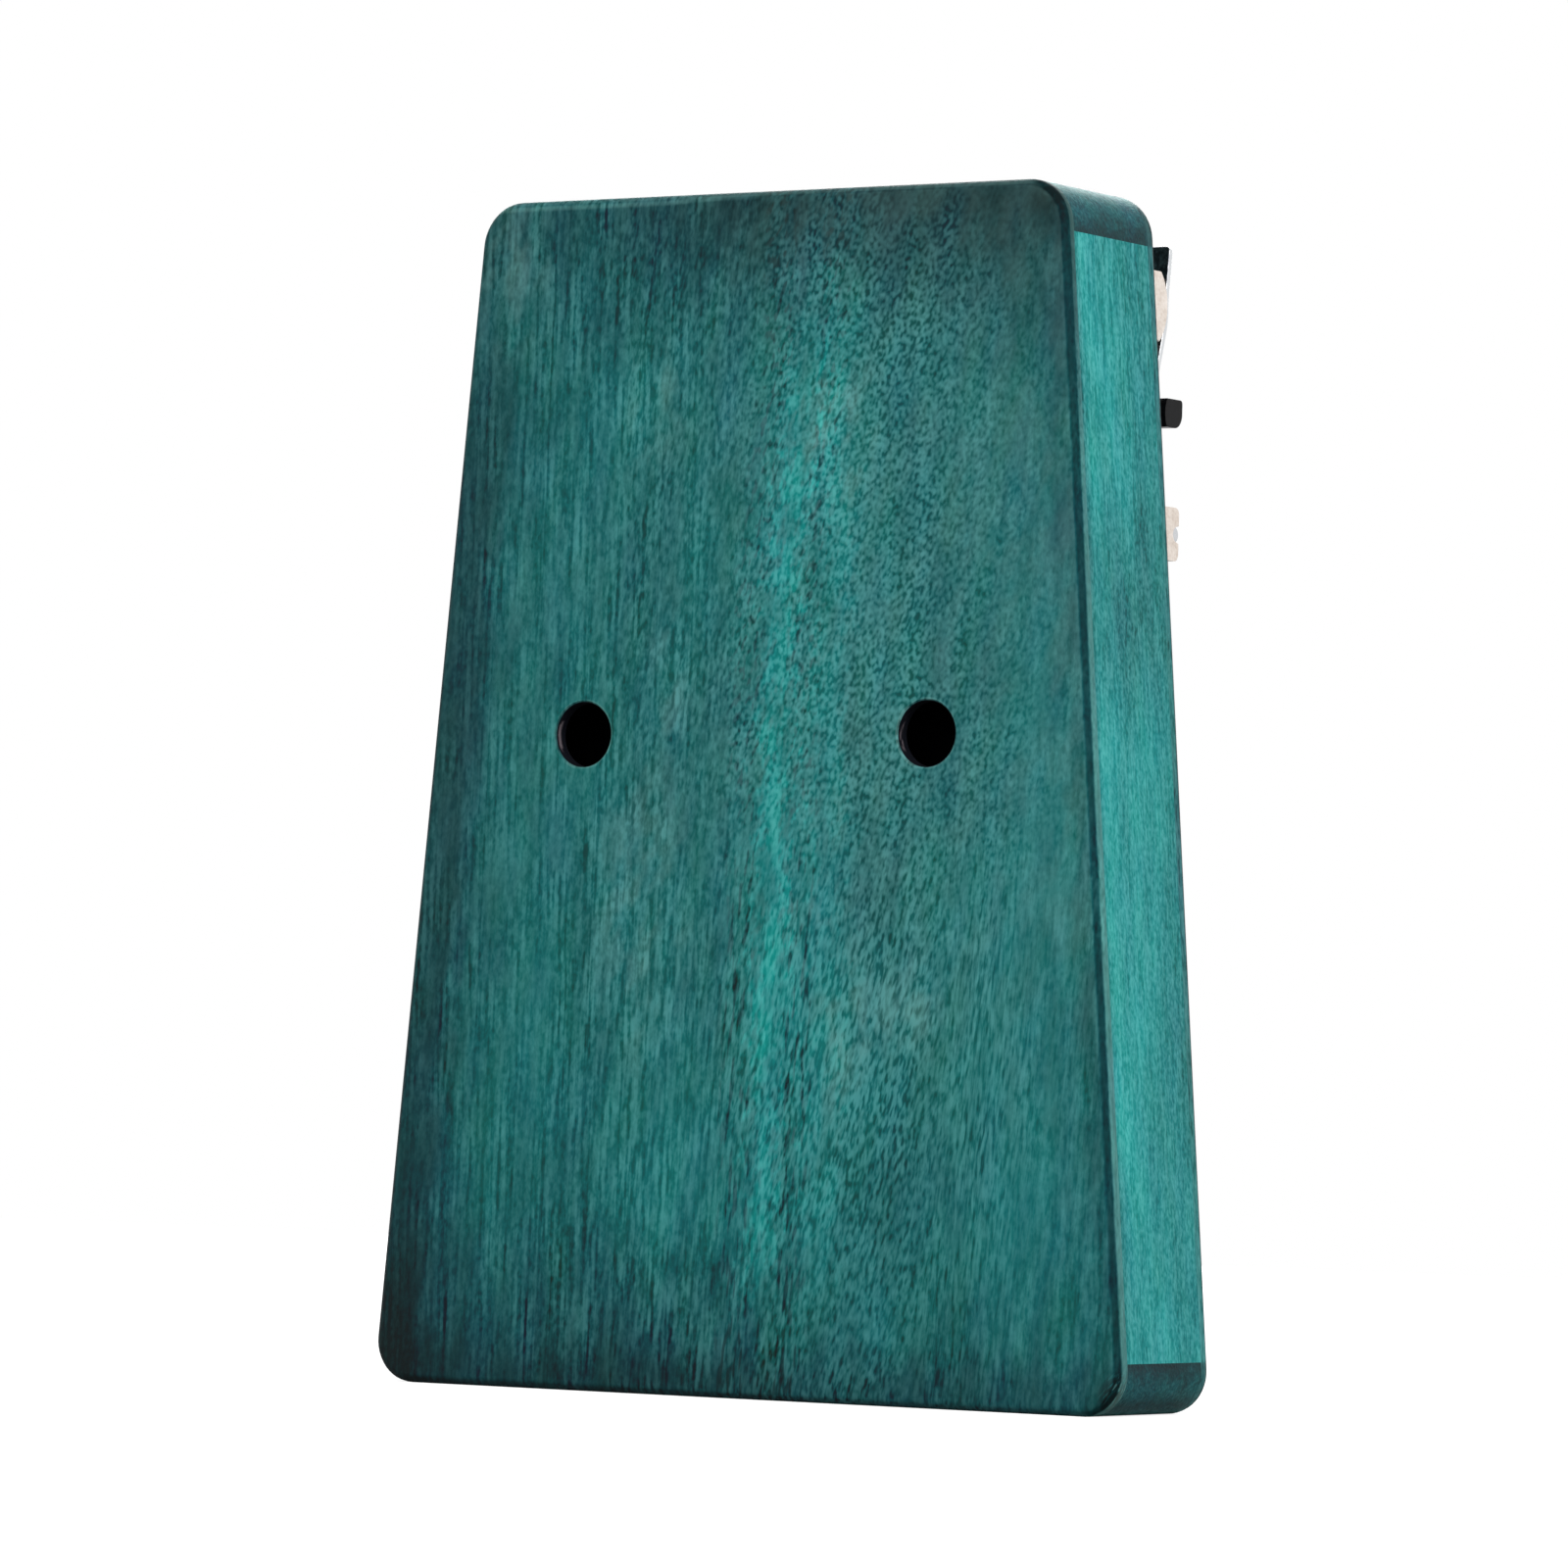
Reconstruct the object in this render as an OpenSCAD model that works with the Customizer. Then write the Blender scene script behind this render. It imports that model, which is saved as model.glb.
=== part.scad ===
// Box kalimba with seventeen spring tines, standing upright on its foot end.
// Z runs up the box from foot to head, the tines face -Y and the back faces +Y.
// The origin is the middle of the foot end, half way through the depth of the box.

/* [Sound box] */
// Length of the box from foot to head
body_length = 185; // [170:1:215]
// Width across the foot
foot_width = 136.5; // [122:0.5:160]
// Width across the head
head_width = 105.5; // [102:0.5:118]
// Depth of the box from the back to the face of the sound board
body_depth = 27; // [21:0.5:34]
// Radius of the two corners at the head, seen from the front
head_corner_radius = 7.2; // [4:0.1:12]
// Radius of the two corners at the foot, seen from the front
foot_corner_radius = 6.5; // [4:0.1:12]
// Radius worked on the outer edge of the back board
back_edge_radius = 1.5; // [0.6:0.1:1.9]
// Radius worked on the outer edge of the sound board
front_edge_radius = 1.2; // [0.6:0.1:1.9]
// Thickness of the sound board
sound_board_thickness = 2.5; // [2:0.1:4]
// Thickness of the back board
back_board_thickness = 2.5; // [2:0.1:4]
// Thickness of the head rail and the foot rail
end_rail_thickness = 8; // [6:0.5:12]
// Thickness of the two side rails
side_rail_thickness = 7; // [5:0.5:10]

/* [Holes] */
// Diameter of the sound hole
sound_hole_diameter = 32; // [20:1:40]
// Height of the middle of the sound hole above the foot
sound_hole_height = 50; // [36:1:62]
// Diameter of the two finger holes in the back
back_hole_diameter = 10; // [6:0.5:16]
// Distance between the two finger holes
back_hole_spacing = 62.5; // [40:0.5:80]
// Height of the finger holes above the foot
back_hole_height = 101.5; // [60:0.5:130]
// Chamfer round the mouth of each hole
hole_chamfer = 0.3; // [0.2:0.1:1]

/* [Tine supports] */
// Height of the saddle's crest above the sound board
saddle_crest = 7.9; // [7:0.1:10]
// Height of the rod's top above the sound board
rod_crest = 8.4; // [7.4:0.1:10]
// Distance of the ends of saddle, bar and bridge in from the sides of the box
end_inset = 2.8; // [1.5:0.1:4]
// Distance from the head to the middle of the saddle
saddle_from_head = 16.3; // [14:0.1:18]
// Width of the saddle along the box
saddle_width = 10.8; // [8:0.2:11.2]
// Radius of the saddle's domed top
saddle_dome = 7.6; // [6:0.1:8]
// Distance from the head to the middle of the pressure bar
bar_from_head = 32.6; // [31:0.2:35]
// Width of the pressure bar along the box
bar_width = 4.4; // [3.8:0.1:5]
// Height of the pressure bar's section
bar_height = 5.2; // [4:0.1:8]
// Radius of the pressure bar's underside, where it bears on the tines
bar_nose = 4.5; // [2.6:0.1:5]
// Radius of the pressure bar's outer edge towards the foot
bar_foot_round = 2.2; // [0.4:0.1:2.2]
// Radius of the pressure bar's outer edge towards the head
bar_head_round = 0.6; // [0.4:0.1:1.8]
// Distance that the bar presses the tines below the saddle's crest
bow_depth = 3.6; // [2.5:0.1:4.2]
// Distance from the head to the middle of the bridge
bridge_from_head = 51.3; // [50:0.1:56]
// Width of the bridge along the box
bridge_width = 8.2; // [6.5:0.1:10]
// Radius of the bridge's upper edges
bridge_round = 1.1; // [0.4:0.1:1.5]
// Diameter of the rod let into the bridge
rod_diameter = 2.4; // [1.8:0.1:3]
// Distance that the rod stands proud of the bridge
rod_proud = 0.7; // [0.3:0.1:1]
// Distance of the rod's ends in from the ends of the bridge
rod_inset = 0.5; // [0.3:0.1:2]

/* [Screws] */
// Number of screws that draw the pressure bar down
screw_count = 4; // [2:1:5]
// Diameter of a screw's shank
screw_diameter = 2.4; // [1.8:0.1:2.8]
// Diameter of a screw's head
screw_head_diameter = 4.2; // [3.6:0.1:5]
// Height of a screw's head
screw_head_height = 1.8; // [1.2:0.1:2.5]
// Width across the flats of the hexagon socket
socket_width = 1.8; // [1.2:0.1:2]
// Depth of the hexagon socket
socket_depth = 1; // [0.6:0.1:1.1]
// Length of screw in the block under the sound board
screw_bite = 8; // [5:0.5:9]
// Width of that block along the box
block_width = 20; // [12:1:24]
// Depth of that block into the box
block_depth = 10; // [9.5:0.5:14]

/* [Tines] */
// Number of tines
tine_count = 17; // [9:2:17]
// Width of a tine
tine_width = 4.1; // [3.4:0.1:4.4]
// Thickness of a tine
tine_thickness = 1; // [0.7:0.1:1.3]
// Length of the middle tine from the rod to its tip
longest_tine = 66; // [58:1:72]
// Distance from the middle of the saddle to the end of a tail
tail_reach = 9.6; // [7:0.2:11]
// Upward slope of the tails, in degrees
tail_rise = 7; // [4:1:20]
// Upward slope of the blades, in degrees
blade_rise = 3; // [1:0.5:6]
// Length of the upturned tip of a blade
tip_length = 8; // [6:0.5:9]
// Further upward slope of the tip, in degrees
tip_rise = 10; // [4:1:16]
// Radius of the two corners of a tip
tip_round = 1.6; // [0.5:0.1:1.6]
// Distance that a tine can be tapped either way to tune it
tuning_travel = 0.8; // [0.4:0.1:1.2]
// Distance past the rod where the free blade begins
flex_reach = 2.4; // [2.1:0.1:3]

/* [Fits] */
// Gap between a tine and what it bears on
seat_gap = 0.05; // [0.03:0.01:0.1]
// Gap between the held shank of a tine and its free blade
flex_gap = 0.06; // [0.05:0.01:0.1]
// Gap between a screw and the tine beside it
screw_side_gap = 0.3; // [0.3:0.05:0.5]
// Clearance across the bar's and sound board's screw holes
screw_hole_clearance = 0.2; // [0.1:0.05:0.4]
// Distance of the outer tines in from the ends of the saddle
tine_margin = 0.5; // [0.3:0.1:2]
// Clearance across the straight sides of the rod's groove
groove_clearance = 0.2; // [0.1:0.05:0.4]

/* [Hidden] */
teal_back = "#3B7974";
teal_rail = "#3C9B97";
teal_front = "#458A86";
pale_maple = "#E6DCD2";
bright_steel = "#C9CCCE";
black_steel = "#17181A";
raw_spruce = "#C8A777";
// Straight steps in a rounded corner and in a gentle bend
corner_steps = 12;
bend_steps = 4;
edge_steps = 4;
// Overshoot of a cut past the face that it opens, and thickness of a hull's slice
past = 1;
slice = 0.01;
round_fn = 48;

frame_depth = body_depth - sound_board_thickness - back_board_thickness;
saddle_up = body_length - saddle_from_head;
bar_up = body_length - bar_from_head;
rod_up = body_length - bridge_from_head;
flex_up = rod_up - flex_reach;
rod_radius = rod_diameter / 2;
rod_height = rod_crest - rod_radius;
bridge_height = rod_crest - rod_proud;
bar_underside = saddle_crest - bow_depth + tine_thickness + 2 * seat_gap;
saddle_length = support_length(saddle_up);
bar_length = support_length(bar_up);
bridge_length = support_length(rod_up);

// The height of a tine's middle line where it lies level over the saddle and over the rod
saddle_seat = saddle_crest + seat_gap + tine_thickness / 2;
rod_seat = rod_crest + seat_gap + tine_thickness / 2;
// Room for a bend at each end of a level stretch, and half the level stretch itself
bend_reach = 1.3;
land = tuning_travel + bend_reach;
// Level start of a blade, room for the bend there, and for the bend at the tip
blade_lead = 2;
lead_reach = 1.5;
tip_reach = 5.5;
tail_round = 0.8;

// Tines stand evenly across the saddle, with wider gaps where a screw passes
screw_gap = screw_diameter + 2 * screw_side_gap;
tine_zone = saddle_length - 2 * tine_margin;
plain_gaps = tine_count - 1 - screw_count;
plain_gap = (tine_zone - tine_count * tine_width - screw_count * screw_gap) / plain_gaps;
middle_tine = (tine_count - 1) / 2;
tines_before_screw = [for (k = [0:screw_count - 1]) round((k + 0.5) * tine_count / screw_count)];
screw_x = [for (after = tines_before_screw) (tine_x(after - 1) + tine_x(after)) / 2];
// Semitones of a major scale, and semitones in an octave
scale_steps = [0, 2, 4, 5, 7, 9, 11];
octave = 12;

BOX_NODES = [
    "back_board", "sound_board", "head_rail", "foot_rail", "left_rail", "right_rail",
    "screw_block", "saddle", "bridge", "bridge_rod", "pressure_bar", "bar_screws"
];
SHANK_NODES = [for (i = [0:tine_count - 1]) tine_name(i, "shank")];
BLADE_NODES = [for (i = [0:tine_count - 1]) tine_name(i, "blade")];

function tine_name(i, piece) = str("tine_", i < 9 ? "0" : "", i + 1, "_", piece);

// Half the width of the box at a height above the foot
function half_width(up) = foot_width / 2 - up * (foot_width - head_width) / 2 / body_length;

// Length of a support that stops short of both sides of the box
function support_length(up) = 2 * (half_width(up) - end_inset);

// Slant of the sides, and the width of a side wall measured straight across
lean = atan((foot_width - head_width) / 2 / body_length);
side_across = side_rail_thickness / cos(lean);

function unit(v) = v / norm(v);

// Points of the arc of radius r that rounds the corner at b between a and c
function corner(a, b, c, r, steps) =
    let (
        u = unit(a - b),
        v = unit(c - b),
        half = acos(u * v) / 2,
        centre = b + unit(u + v) * r / sin(half),
        start = b + u * r / tan(half) - centre,
        finish = b + v * r / tan(half) - centre,
        from = atan2(start.y, start.x),
        turn = (atan2(finish.y, finish.x) - from + 540) % 360 - 180
    )
    r <= 0 ? [b] : [for (k = [0:steps]) centre + r * [cos(from + turn * k / steps), sin(from + turn * k / steps)]];

// A closed outline with a radius for each of its corners
function rounded(points, radii) =
    let (n = len(points))
    [for (i = [0:n - 1])
        each corner(points[(i + n - 1) % n], points[i], points[(i + 1) % n], radii[i], corner_steps)];

// An open path whose inner corners are eased by arcs that start a given reach from the corner
function eased(points, reaches) =
    let (last = len(points) - 1)
    [for (i = [0:last])
        each (i == 0 || i == last) ? [points[i]] :
            let (
                u = unit(points[i - 1] - points[i]),
                v = unit(points[i + 1] - points[i]),
                r = reaches[i] * tan(acos(u * v) / 2)
            )
            corner(points[i - 1], points[i], points[i + 1], r, bend_steps)];

// The path moved sideways by a distance
function beside(path, distance) =
    let (last = len(path) - 1)
    [for (i = [0:last])
        let (
            before = unit(path[max(i, 1)] - path[max(i, 1) - 1]),
            after = unit(path[min(i, last - 1) + 1] - path[min(i, last - 1)]),
            along = unit(before + after)
        )
        path[i] + distance / (along * after) * [-along.y, along.x]];

// Outline of a strip of even thickness along a path
function strip(path, thickness) =
    let (lower = beside(path, -thickness / 2), last = len(path) - 1)
    concat(beside(path, thickness / 2), [for (i = [last:-1:0]) lower[i]]);

// Plan of the box, drawn in by an inset all round
function box_plan(inset) =
    let (
        side = inset / cos(lean),
        foot = half_width(inset) - side,
        head = half_width(body_length - inset) - side,
        top = body_length - inset,
        foot_radius = foot_corner_radius - inset,
        head_radius = head_corner_radius - inset
    )
    rounded(
        [[-foot, inset], [foot, inset], [head, top], [-head, top]],
        [foot_radius, foot_radius, head_radius, head_radius]
    );

// Screws that a tine has on its left
function screws_left_of(i) = len([for (after = tines_before_screw) if (after <= i) after]);

// Middle of a tine across the box
function tine_x(i) =
    -tine_zone / 2 + tine_width / 2 + i * (tine_width + plain_gap) + screws_left_of(i) * (screw_gap - plain_gap);

// Place of a tine in the scale: the middle one is lowest, then left and right by turns
function tine_rank(i) = i < middle_tine ? 2 * (middle_tine - i) - 1 : 2 * (i - middle_tine);

function semitones(rank) = scale_steps[rank % len(scale_steps)] + octave * floor(rank / len(scale_steps));

// A strip's pitch goes with one over its length squared, so an octave shortens it by the root of two
function free_length(i) = longest_tine * pow(2, -semitones(tine_rank(i)) / (2 * octave));

// Middle line of a held shank as height up the box and height above the sound board
function shank_path() =
    let (
        low = saddle_seat - bow_depth,
        tail = saddle_seat + (tail_reach - land) * tan(tail_rise)
    )
    eased(
        [
            [saddle_up + tail_reach, tail],
            [saddle_up + land, saddle_seat],
            [saddle_up - land, saddle_seat],
            [bar_up + land, low],
            [bar_up - land, low],
            [rod_up + land, rod_seat],
            [flex_up + flex_gap / 2, rod_seat]
        ],
        [for (k = [0:6]) bend_reach]
    );

// Middle line of a free blade, level at first and upturned at the tip
function blade_path(i) =
    let (
        start = flex_up - flex_gap / 2,
        tip = rod_up - free_length(i),
        rise = (start - blade_lead - tip - tip_length) * tan(blade_rise)
    )
    eased(
        [
            [start, rod_seat],
            [start - blade_lead, rod_seat],
            [tip + tip_length, rod_seat + rise],
            [tip, rod_seat + rise + tip_length * tan(blade_rise + tip_rise)]
        ],
        [0, lead_reach, tip_reach, 0]
    );

// Stands a plan of the box upright: across, up, and out from the back
module stand() {
    translate([0, body_depth / 2, 0])
        rotate([90, 0, 0])
            children();
}

module on_sound_board() {
    stand()
        translate([0, 0, body_depth])
            children();
}

// Runs a section, drawn as height up the box and height above the board, across the box
module across(length) {
    rotate([90, 0, 90])
        linear_extrude(length, center = true)
            children();
}

// A board with its inner face at zero and a radius round its outer edge
module edged_board(thickness, edge_radius) {
    hull() {
        linear_extrude(thickness - edge_radius)
            polygon(box_plan(0));
        for (k = [1:edge_steps]) {
            angle = 90 * k / edge_steps;
            translate([0, 0, thickness - edge_radius * (1 - sin(angle)) - slice])
                linear_extrude(slice)
                    polygon(box_plan(edge_radius * (1 - cos(angle))));
        }
    }
}

// A hole through a board of that thickness, with a chamfer at its outer mouth
module chamfered_hole(diameter, thickness) {
    translate([0, 0, -past])
        cylinder(d = diameter, h = thickness + 2 * past, $fn = round_fn);
    translate([0, 0, thickness - hole_chamfer])
        cylinder(d1 = diameter, d2 = diameter + 4 * hole_chamfer, h = 2 * hole_chamfer, $fn = round_fn);
}

module back_board() {
    color(teal_back)
        stand()
            translate([0, 0, back_board_thickness])
                mirror([0, 0, 1])
                    difference() {
                        edged_board(back_board_thickness, back_edge_radius);
                        for (side = [-1, 1])
                            translate([side * back_hole_spacing / 2, back_hole_height, 0])
                                chamfered_hole(back_hole_diameter, back_board_thickness);
                    }
}

module sound_board() {
    color(teal_front)
        on_sound_board()
            translate([0, 0, -sound_board_thickness])
                difference() {
                    edged_board(sound_board_thickness, front_edge_radius);
                    translate([0, sound_hole_height, 0])
                        chamfered_hole(sound_hole_diameter, sound_board_thickness);
                    for (x = screw_x)
                        translate([x, bar_up, -past])
                            screw_hole(sound_board_thickness + 2 * past);
                }
}

module screw_hole(depth) {
    cylinder(d = screw_diameter + screw_hole_clearance, h = depth, $fn = round_fn);
}

// Extrudes a plan through the depth between the two boards
module in_frame() {
    stand()
        translate([0, 0, back_board_thickness])
            linear_extrude(frame_depth)
                children();
}

module end_rail(from) {
    color(teal_rail)
        in_frame()
            intersection() {
                polygon(box_plan(0));
                translate([-foot_width, from])
                    square([2 * foot_width, end_rail_thickness]);
            }
}

module head_rail() {
    end_rail(body_length - end_rail_thickness);
}

module foot_rail() {
    end_rail(0);
}

// A side rail fits between the end rails and follows the slant of the box
module side_rail(side) {
    low = end_rail_thickness;
    high = body_length - end_rail_thickness;
    color(teal_rail)
        in_frame()
            intersection() {
                polygon(box_plan(0));
                polygon([
                    [side * (half_width(low) - side_across), low],
                    [side * half_width(low), low],
                    [side * half_width(high), high],
                    [side * (half_width(high) - side_across), high]
                ]);
            }
}

module left_rail() {
    side_rail(-1);
}

module right_rail() {
    side_rail(1);
}

// Hardwood block glued under the sound board between the side rails, which takes the screws
module screw_block() {
    low = bar_up - block_width / 2;
    high = bar_up + block_width / 2;
    inner_low = half_width(low) - side_across;
    inner_high = half_width(high) - side_across;
    color(raw_spruce)
        on_sound_board()
            translate([0, 0, -sound_board_thickness - block_depth])
                difference() {
                    linear_extrude(block_depth)
                        polygon([[-inner_low, low], [inner_low, low], [inner_high, high], [-inner_high, high]]);
                    for (x = screw_x)
                        translate([x, bar_up, block_depth - screw_bite])
                            cylinder(d = screw_diameter, h = screw_bite + past, $fn = round_fn);
                }
}

module saddle() {
    color(pale_maple)
        on_sound_board()
            translate([0, saddle_up, 0])
                across(saddle_length)
                    nosed_section(saddle_width, saddle_crest, saddle_dome);
}

// A rectangular section whose top bulges to a round crest
module nosed_section(width, height, nose) {
    intersection() {
        translate([-width / 2, 0])
            square([width, height]);
        translate([0, height - nose])
            union() {
                circle(r = nose, $fn = round_fn);
                translate([-width, -height])
                    square([2 * width, height]);
            }
    }
}

module bridge() {
    half = bridge_width / 2;
    slot = rod_diameter + groove_clearance;
    color(pale_maple)
        on_sound_board()
            translate([0, rod_up, 0])
                across(bridge_length)
                    difference() {
                        polygon(rounded(
                            [[-half, 0], [half, 0], [half, bridge_height], [-half, bridge_height]],
                            [0, 0, bridge_round, bridge_round]
                        ));
                        translate([0, rod_height])
                            circle(r = rod_radius, $fn = round_fn);
                        translate([-slot / 2, rod_height])
                            square([slot, rod_crest]);
                    }
}

module bridge_rod() {
    color(bright_steel)
        on_sound_board()
            translate([0, rod_up, rod_height])
                rotate([0, 90, 0])
                    cylinder(r = rod_radius, h = bridge_length - 2 * rod_inset, center = true, $fn = round_fn);
}

module pressure_bar() {
    color(black_steel)
        on_sound_board()
            difference() {
                translate([0, bar_up, bar_underside + bar_height])
                    mirror([0, 0, 1])
                        across(bar_length)
                            bar_section();
                for (x = screw_x)
                    translate([x, bar_up, bar_underside - past])
                        screw_hole(bar_height + 2 * past);
            }
}

// The bar's section with its outer face at zero and its underside at the top
module bar_section() {
    half = bar_width / 2;
    intersection() {
        nosed_section(bar_width, bar_height, bar_nose);
        polygon(rounded(
            [[-half, 0], [half, 0], [half, bar_height], [-half, bar_height]],
            [bar_foot_round, bar_head_round, 0, 0]
        ));
    }
}

module bar_screws() {
    shank = screw_bite + sound_board_thickness + bar_underside + bar_height;
    color(bright_steel)
        on_sound_board()
            for (x = screw_x)
                translate([x, bar_up, bar_underside + bar_height])
                    socket_screw(shank);
}

// A screw that hangs from the underside of its head
module socket_screw(shank) {
    difference() {
        union() {
            translate([0, 0, -shank])
                cylinder(d = screw_diameter, h = shank + screw_head_height / 2, $fn = round_fn);
            cylinder(d = screw_head_diameter, h = screw_head_height, $fn = round_fn);
        }
        translate([0, 0, screw_head_height - socket_depth])
            cylinder(d = socket_width / cos(30), h = socket_depth + past, $fn = 6);
    }
}

// Trims a tine's side view, run across its width, to its outline seen from the front
module tine_strip(i, path, low, high, low_round, high_round) {
    half = tine_width / 2;
    color(bright_steel)
        on_sound_board()
            translate([tine_x(i), 0, 0])
                intersection() {
                    across(tine_width)
                        polygon(strip(path, tine_thickness));
                    linear_extrude(longest_tine)
                        polygon(rounded(
                            [[-half, low], [half, low], [half, high], [-half, high]],
                            [low_round, low_round, high_round, high_round]
                        ));
                }
}

// The held part of a tine, from its tail over the saddle and under the bar to just past the rod
module tine_shank(i) {
    tine_strip(i, shank_path(), flex_up + flex_gap / 2, saddle_up + tail_reach, 0, tail_round);
}

// The free part of a tine, which the thumb plucks
module tine_blade(i) {
    tine_strip(i, blade_path(i), rod_up - free_length(i), flex_up - flex_gap / 2, tip_round, 0);
}

back_board();
sound_board();
head_rail();
foot_rail();
left_rail();
right_rail();
screw_block();
saddle();
bridge();
bridge_rod();
pressure_bar();
bar_screws();
for (i = [0:tine_count - 1]) {
    tine_shank(i);
    tine_blade(i);
}
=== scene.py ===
"""Box kalimba seen from behind: teal-stained mahogany box, maple saddle and bridge, black bar, steel tines."""
import math

import bmesh
import bpy
from mathutils import Matrix, Vector


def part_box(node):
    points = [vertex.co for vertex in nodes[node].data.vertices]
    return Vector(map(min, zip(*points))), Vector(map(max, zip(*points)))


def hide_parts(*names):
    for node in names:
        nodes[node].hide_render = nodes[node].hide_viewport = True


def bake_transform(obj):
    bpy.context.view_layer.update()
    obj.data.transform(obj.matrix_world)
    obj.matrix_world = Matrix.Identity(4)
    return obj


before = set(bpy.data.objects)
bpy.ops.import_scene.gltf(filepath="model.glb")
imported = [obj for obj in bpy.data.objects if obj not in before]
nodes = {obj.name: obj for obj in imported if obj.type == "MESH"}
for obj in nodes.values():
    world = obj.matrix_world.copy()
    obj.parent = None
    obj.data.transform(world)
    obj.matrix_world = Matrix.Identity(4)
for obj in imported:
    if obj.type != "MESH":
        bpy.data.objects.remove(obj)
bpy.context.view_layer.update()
MM = 0.001

# Outline of the box: its length and its back face are read off the back board, and the sides lean in to the head
_, BOARD_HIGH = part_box("back_board")
HEAD_Z = BOARD_HIGH.z
BACK_Y = BOARD_HIGH.y
FOOT_HALF = 68.25 * MM
HEAD_HALF = 52.75 * MM
SIDE_SLOPE = (FOOT_HALF - HEAD_HALF) / HEAD_Z
END_RAIL = 8 * MM
HOLE_X, HOLE_Z, HOLE_RADIUS = 31.25 * MM, 101.5 * MM, 5 * MM

# The camera stands where the photograph was taken from, a little low and turned to the right side
CAMERA_PLACE = Vector((-654.35, 1020.71, 45.94)) * MM
CAMERA_AIM = Vector((-6.02, 13.5, 93.84)) * MM
CAMERA_ROLL = 1.545
CAMERA_LENS = 180.57

# Lamps: the way they stand from the middle of the box, watts and size in metres
LAMPS = (
    ("key", (-0.80, 0.35, 0.50), 23.5, 0.9),
    ("back_fill", (-0.25, 0.90, 0.36), 6.3, 1.2),
    ("front_fill", (0.45, -0.78, 0.44), 17.5, 1.0),
)
LAMP_DISTANCE = 1.6

# Corners of triangles closer than this are joined
WELD_GAP = 0.002 * MM
# Edges bent by more than these angles are shaded sharp, eased on a CAD node and eased on a tine
SHADED_SHARP = math.radians(38)
NODE_ARRIS = math.radians(50)
TINE_ARRIS = math.radians(55)


def linear(colour):
    """An sRGB hex colour as linear RGBA."""
    parts = [int(colour[i:i + 2], 16) / 255 for i in (1, 3, 5)]
    return tuple(c / 12.92 if c <= 0.04045 else ((c + 0.055) / 1.055) ** 2.4 for c in parts) + (1.0,)


def add(tree, kind, links=None, out=0, stops=None, **settings):
    """Adds a node. links gives its inputs a socket or a plain value, stops the colours of a ramp."""
    node = tree.nodes.new(kind)
    for name, value in settings.items():
        setattr(node, name, value)
    for name, value in (links or {}).items():
        if isinstance(value, bpy.types.NodeSocket):
            tree.links.new(value, node.inputs[name])
        else:
            node.inputs[name].default_value = value
    if stops:
        elements = node.color_ramp.elements
        while len(elements) < len(stops):
            elements.new(1)
        for element, (position, colour) in zip(elements, stops):
            element.position = position
            element.color = linear(colour)
    return node.outputs[out] if node.outputs else None


def new_material(name):
    """A material with an empty node tree."""
    material = bpy.data.materials.new(name)
    material.use_nodes = True
    material.node_tree.nodes.clear()
    return material, material.node_tree


def surface(tree, **inputs):
    """Closes a material with its shader; the keys are the shader's inputs with _ for a space."""
    links = {name.replace("_", " "): value for name, value in inputs.items()}
    shader = add(tree, "ShaderNodeBsdfPrincipled", links)
    add(tree, "ShaderNodeOutputMaterial", {"Surface": shader})


def fibres(tree, place, across, along, lean=0.0, detail=2.0, turn=0.0):
    """Noise drawn out along the grain; across and along are the size of one fibre in millimetres."""
    stretched = add(tree, "ShaderNodeMapping", {
        "Vector": place,
        "Rotation": (0, math.radians(lean + turn), 0),
        "Scale": (across * MM, across * MM, along * MM),
    }, vector_type="TEXTURE")
    return add(tree, "ShaderNodeTexNoise", {"Vector": stretched, "Scale": 1.0, "Detail": detail, "Roughness": 0.6})


def step(tree, value, low, high, out_low=0.0, out_high=1.0):
    """A smooth change from out_low to out_high as value goes from low to high. Places on the box are in metres."""
    return add(tree, "ShaderNodeMapRange", {
        "Value": value, "From Min": low, "From Max": high, "To Min": out_low, "To Max": out_high,
    }, interpolation_type="SMOOTHSTEP")


def maths(tree, operation, *values):
    """Joins values by one operation, from left to right."""
    total = values[0]
    for value in values[1:]:
        total = add(tree, "ShaderNodeMath", {0: total, 1: value}, operation=operation)
    return total


def swing(tree, value, amount):
    """Noise about 0.5 turned into a rise and fall about nought."""
    return add(tree, "ShaderNodeMath", {0: value, 1: 2 * amount, 2: -amount}, operation="MULTIPLY_ADD")


def absolute(tree, value):
    """A value without its sign."""
    return add(tree, "ShaderNodeMath", {0: value}, operation="ABSOLUTE")


def parts_of(tree, vector):
    """The x, y and z of a vector."""
    return [add(tree, "ShaderNodeSeparateXYZ", {0: vector}, out=k) for k in range(3)]


def spot(tree, place, x, z, wide, tall):
    """A soft patch on the back, 1 in its middle and 0 outside its width and height in millimetres."""
    away = add(tree, "ShaderNodeVectorMath", {0: place, 1: (x * MM, 0, z * MM)}, operation="SUBTRACT")
    away = add(tree, "ShaderNodeVectorMath", {0: away, 1: (2 / (wide * MM), 0, 2 / (tall * MM))}, operation="MULTIPLY")
    return step(tree, add(tree, "ShaderNodeVectorMath", {0: away}, out=1, operation="LENGTH"), 1.0, 0.1)


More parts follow.
